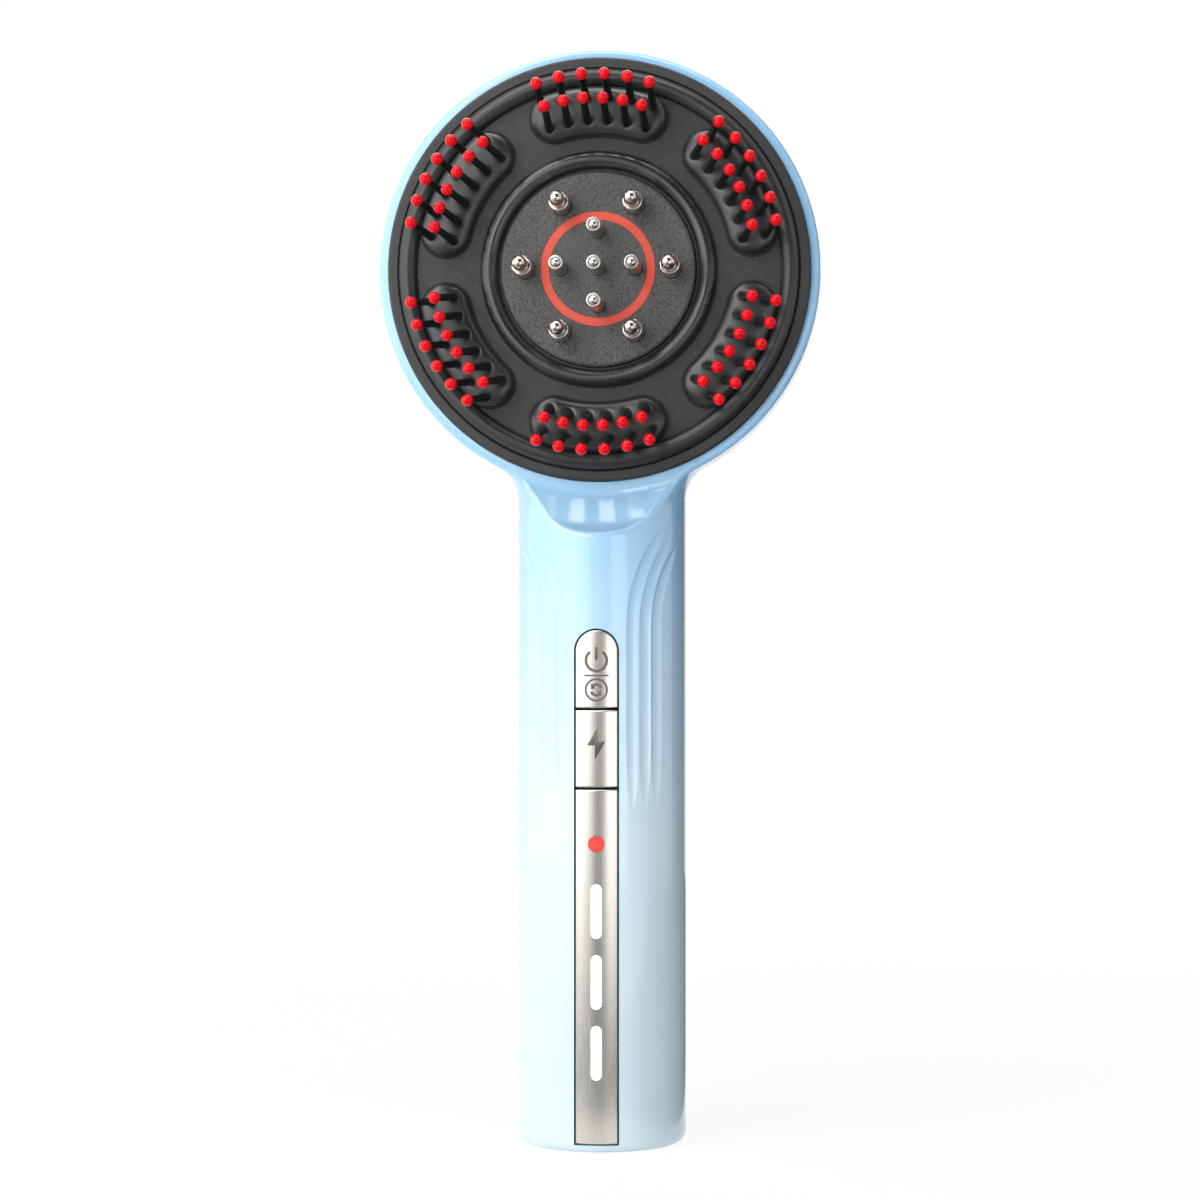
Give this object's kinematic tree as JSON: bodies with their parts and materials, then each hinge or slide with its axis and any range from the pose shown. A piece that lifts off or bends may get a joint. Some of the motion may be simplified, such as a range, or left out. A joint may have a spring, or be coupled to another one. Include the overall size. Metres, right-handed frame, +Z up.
{
  "type": "light therapy hair comb",
  "caption": "Cordless round-headed scalp comb with soft ball-tipped bristles, sprung electrodes, rolling-ball nozzles, a red light ring and a tube handle with buttons.",
  "frame": {"origin": "centre of the handle's flat foot", "axes": "+Z up the handle to the head, -Y the way the comb face looks, +X to the right seen from the front"},
  "size_m": [0.083, 0.0426, 0.2062],
  "materials": {
    "sky_blue_plastic": "glossy moulded plastic",
    "black_plastic": "fine matt grain",
    "black_rubber": "soft matt rubber",
    "bristle_black": "smooth, half matt",
    "red_tip": "glossy",
    "textured_black": "coarse matt grain",
    "smooth_black": "smooth, matt",
    "red_ring": "satin",
    "satin_steel": "satin",
    "chrome": "polished",
    "champagne_nickel": "satin nickel",
    "white_light": "lit diffuser",
    "red_lens": "glossy",
    "inner_plastic": "matt",
    "circuit_green": "solder mask",
    "diode_white": "clear resin",
    "battery_wrap": "shrink sleeve",
    "steel": "plain",
    "brass": "plain",
    "silicone": "matt",
    "cable": "insulated"
  },
  "bodies": {
    "casing": {"backing_plate": "inner_plastic", "battery": "battery_wrap", "battery_tabs": "steel", "bead_ring": "black_rubber", "bristle_tips": "red_tip", "bristles_1": "bristle_black", "bristles_2": "bristle_black", "bristles_3": "bristle_black", "bristles_4": "bristle_black", "bristles_5": "bristle_black", "bristles_6": "bristle_black", "cap_seal": "silicone", "case_screws": "steel", "centre_disc": "textured_black", "cushion_1": "black_rubber", "cushion_2": "black_rubber", "cushion_3": "black_rubber", "cushion_4": "black_rubber", "cushion_5": "black_rubber", "cushion_6": "black_rubber", "dispenser_cap": "smooth_black", "electrode_sleeves": "chrome", "electrode_springs": "steel", "face_plate": "black_plastic", "front_shell": "sky_blue_plastic", "head_board": "circuit_green", "head_ribbon": "cable", "indicator_leds": "diode_white", "indicator_lens": "red_lens", "indicator_panel": "champagne_nickel", "level_bars": "white_light", "light_ring": "red_ring", "main_board": "circuit_green", "motor": "steel", "motor_bracket": "inner_plastic", "motor_leads": "cable", "nozzle_tubes": "satin_steel", "rear_shell": "sky_blue_plastic", "red_leds": "diode_white", "reservoir": "inner_plastic", "small_screws": "steel", "switch_bodies": "inner_plastic", "usb_socket": "steel"},
    "power_button": {"power_button": "champagne_nickel", "power_stem": "inner_plastic"},
    "pulse_button": {"pulse_button": "champagne_nickel", "pulse_stem": "inner_plastic"},
    "rotor": {"motor_shaft": "steel", "eccentric_weight": "brass"},
    "electrode_1": {"electrode_1": "chrome"},
    "electrode_2": {"electrode_2": "chrome"},
    "electrode_3": {"electrode_3": "chrome"},
    "electrode_4": {"electrode_4": "chrome"},
    "electrode_5": {"electrode_5": "chrome"},
    "electrode_6": {"electrode_6": "chrome"},
    "nozzle_ball_1": {"nozzle_ball_1": "satin_steel"},
    "nozzle_ball_2": {"nozzle_ball_2": "satin_steel"},
    "nozzle_ball_3": {"nozzle_ball_3": "satin_steel"},
    "nozzle_ball_4": {"nozzle_ball_4": "satin_steel"},
    "nozzle_ball_5": {"nozzle_ball_5": "satin_steel"}
  },
  "joints": [
    {"name": "power_button_press", "type": "slide", "parent": "casing", "child": "power_button", "axis": [0, 1, 0], "range_m": [0, 0.0006], "stiffness_N_per_m": 1500},
    {"name": "pulse_button_press", "type": "slide", "parent": "casing", "child": "pulse_button", "axis": [0, 1, 0], "range_m": [0, 0.0006], "stiffness_N_per_m": 1500},
    {"name": "electrode_1_press", "type": "slide", "parent": "casing", "child": "electrode_1", "axis": [0, 1, 0], "range_m": [0, 0.002], "stiffness_N_per_m": 250, "deforming": ["electrode_springs"]},
    {"name": "electrode_2_press", "type": "slide", "parent": "casing", "child": "electrode_2", "axis": [0, 1, 0], "range_m": [0, 0.002], "stiffness_N_per_m": 250, "deforming": ["electrode_springs"]},
    {"name": "electrode_3_press", "type": "slide", "parent": "casing", "child": "electrode_3", "axis": [0, 1, 0], "range_m": [0, 0.002], "stiffness_N_per_m": 250, "deforming": ["electrode_springs"]},
    {"name": "electrode_4_press", "type": "slide", "parent": "casing", "child": "electrode_4", "axis": [0, 1, 0], "range_m": [0, 0.002], "stiffness_N_per_m": 250, "deforming": ["electrode_springs"]},
    {"name": "electrode_5_press", "type": "slide", "parent": "casing", "child": "electrode_5", "axis": [0, 1, 0], "range_m": [0, 0.002], "stiffness_N_per_m": 250, "deforming": ["electrode_springs"]},
    {"name": "electrode_6_press", "type": "slide", "parent": "casing", "child": "electrode_6", "axis": [0, 1, 0], "range_m": [0, 0.002], "stiffness_N_per_m": 250, "deforming": ["electrode_springs"]},
    {"name": "nozzle_ball_1_roll", "type": "hinge", "parent": "casing", "child": "nozzle_ball_1", "pos_m": [0, -0.0232, 0.1647], "axis": [1, 0, 0], "continuous": true},
    {"name": "nozzle_ball_2_roll", "type": "hinge", "parent": "casing", "child": "nozzle_ball_2", "pos_m": [0.00695, -0.0232, 0.1647], "axis": [1, 0, 0], "continuous": true},
    {"name": "nozzle_ball_3_roll", "type": "hinge", "parent": "casing", "child": "nozzle_ball_3", "pos_m": [0, -0.0232, 0.17165], "axis": [1, 0, 0], "continuous": true},
    {"name": "nozzle_ball_4_roll", "type": "hinge", "parent": "casing", "child": "nozzle_ball_4", "pos_m": [-0.00695, -0.0232, 0.1647], "axis": [1, 0, 0], "continuous": true},
    {"name": "nozzle_ball_5_roll", "type": "hinge", "parent": "casing", "child": "nozzle_ball_5", "pos_m": [0, -0.0232, 0.15775], "axis": [1, 0, 0], "continuous": true},
    {"name": "rotor_spin", "type": "hinge", "parent": "casing", "child": "rotor", "pos_m": [0, 0.003, 0.1163], "axis": [0, 0, 1], "continuous": true}
  ]
}
